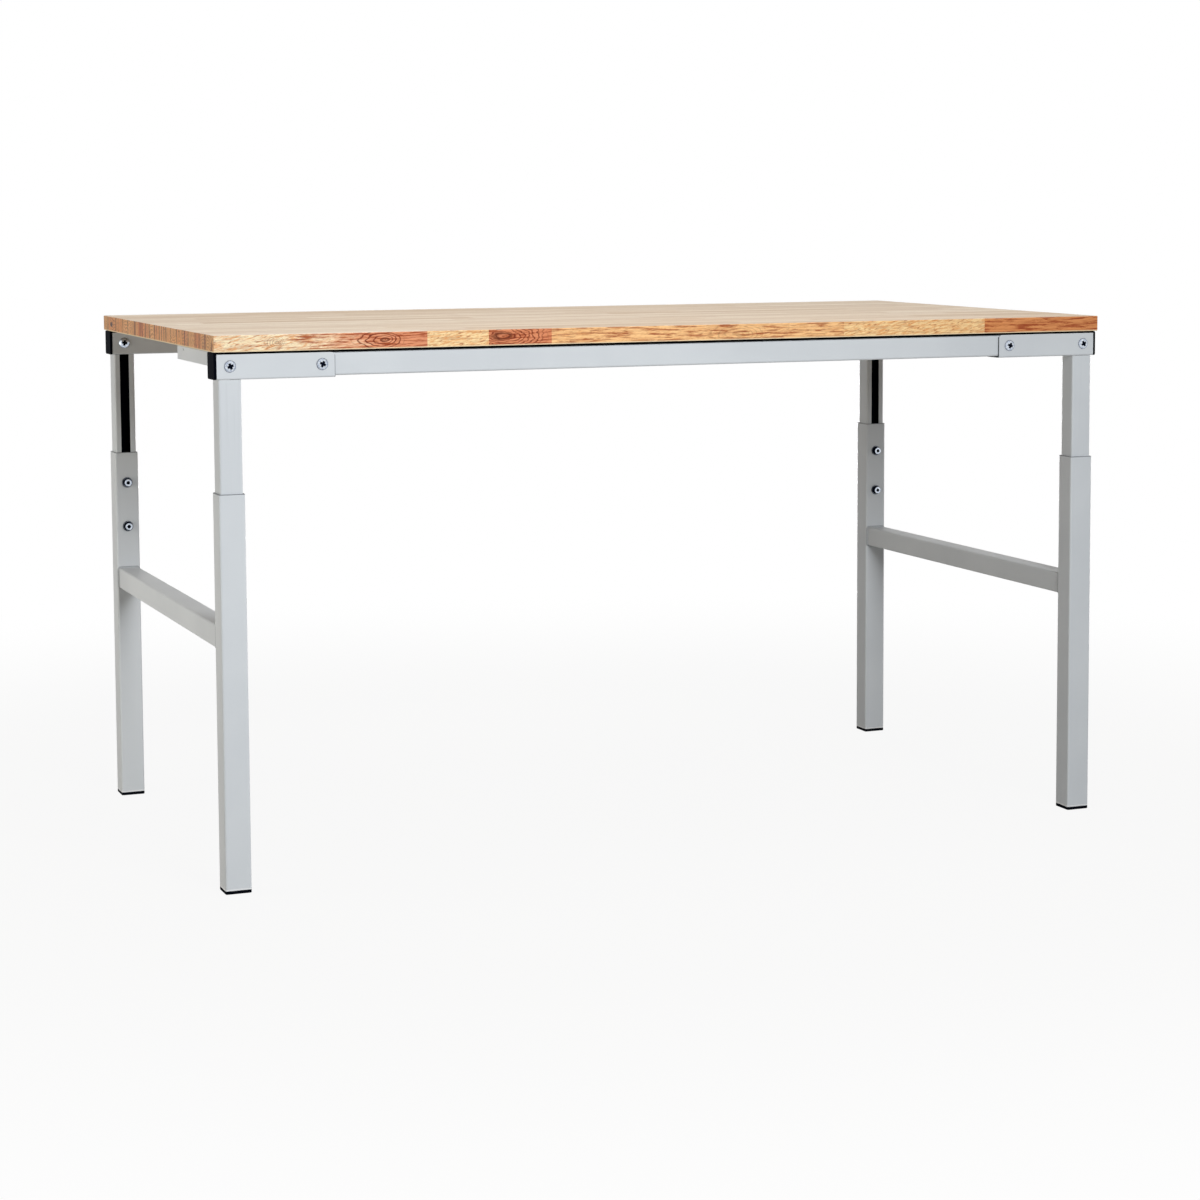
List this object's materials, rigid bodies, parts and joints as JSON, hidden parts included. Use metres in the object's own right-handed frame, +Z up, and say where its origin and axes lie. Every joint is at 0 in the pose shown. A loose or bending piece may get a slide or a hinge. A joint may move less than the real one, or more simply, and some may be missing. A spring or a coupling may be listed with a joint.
{
  "type": "height-adjustable workbench",
  "caption": "Workbench with a laminated wooden top on a steel frame; slotted inner legs slide in clamped outer legs to set the height.",
  "frame": {"origin": "on the floor, straight below the middle of the worktop", "axes": "+X to the right along the worktop's length, +Y from the front to the back, +Z up"},
  "size_m": [1.5, 0.8, 0.835],
  "materials": {
    "worktop_wood": "laminated hardwood, oiled, satin",
    "frame_paint": "light grey powder coat",
    "black_plastic": "moulded black plastic, satin",
    "strip_rubber": "black rubber strip, matt",
    "zinc_plate": "bright zinc plate"
  },
  "bodies": {
    "left_base": {"outer_leg_front_left": "frame_paint", "foot_cap_front_left": "black_plastic", "clamp_bar_front_left": "zinc_plate", "clamp_bolt_front_left_upper": "zinc_plate", "clamp_bolt_front_left_lower": "zinc_plate", "outer_leg_back_left": "frame_paint", "foot_cap_back_left": "black_plastic", "clamp_bar_back_left": "zinc_plate", "clamp_bolt_back_left_upper": "zinc_plate", "clamp_bolt_back_left_lower": "zinc_plate", "side_stretcher_left": "frame_paint"},
    "upper": {"worktop": "worktop_wood", "inner_leg_front_left": "frame_paint", "rail_bracket_front_left": "frame_paint", "end_cap_front_left": "black_plastic", "frame_bolt_front_left_outer": "zinc_plate", "frame_bolt_front_left_inner": "zinc_plate", "inner_leg_back_left": "frame_paint", "rail_bracket_back_left": "frame_paint", "end_cap_back_left": "black_plastic", "frame_bolt_back_left_outer": "zinc_plate", "frame_bolt_back_left_inner": "zinc_plate", "top_angle_left": "frame_paint", "angle_screw_left_front": "zinc_plate", "angle_screw_left_back": "zinc_plate", "inner_leg_front_right": "frame_paint", "rail_bracket_front_right": "frame_paint", "end_cap_front_right": "black_plastic", "frame_bolt_front_right_outer": "zinc_plate", "frame_bolt_front_right_inner": "zinc_plate", "inner_leg_back_right": "frame_paint", "rail_bracket_back_right": "frame_paint", "end_cap_back_right": "black_plastic", "frame_bolt_back_right_outer": "zinc_plate", "frame_bolt_back_right_inner": "zinc_plate", "top_angle_right": "frame_paint", "angle_screw_right_front": "zinc_plate", "angle_screw_right_back": "zinc_plate", "front_rail": "frame_paint", "top_strip_front": "strip_rubber", "rail_screw_front_left": "zinc_plate", "rail_screw_front_middle": "zinc_plate", "rail_screw_front_right": "zinc_plate", "back_rail": "frame_paint", "top_strip_back": "strip_rubber", "rail_screw_back_left": "zinc_plate", "rail_screw_back_middle": "zinc_plate", "rail_screw_back_right": "zinc_plate"},
    "right_base": {"outer_leg_front_right": "frame_paint", "foot_cap_front_right": "black_plastic", "clamp_bar_front_right": "zinc_plate", "clamp_bolt_front_right_upper": "zinc_plate", "clamp_bolt_front_right_lower": "zinc_plate", "outer_leg_back_right": "frame_paint", "foot_cap_back_right": "black_plastic", "clamp_bar_back_right": "zinc_plate", "clamp_bolt_back_right_upper": "zinc_plate", "clamp_bolt_back_right_lower": "zinc_plate", "side_stretcher_right": "frame_paint"}
  },
  "joints": [
    {"name": "height_slide", "type": "slide", "parent": "left_base", "child": "upper", "axis": [0, 0, 1], "range_m": [-0.115, 0.245]},
    {"name": "right_leg_slide", "type": "slide", "parent": "upper", "child": "right_base", "axis": [0, 0, -1], "range_m": [-0.115, 0.245]}
  ],
  "couplings": [
    {"joint": "right_leg_slide", "follows": "height_slide", "ratio": 1}
  ]
}
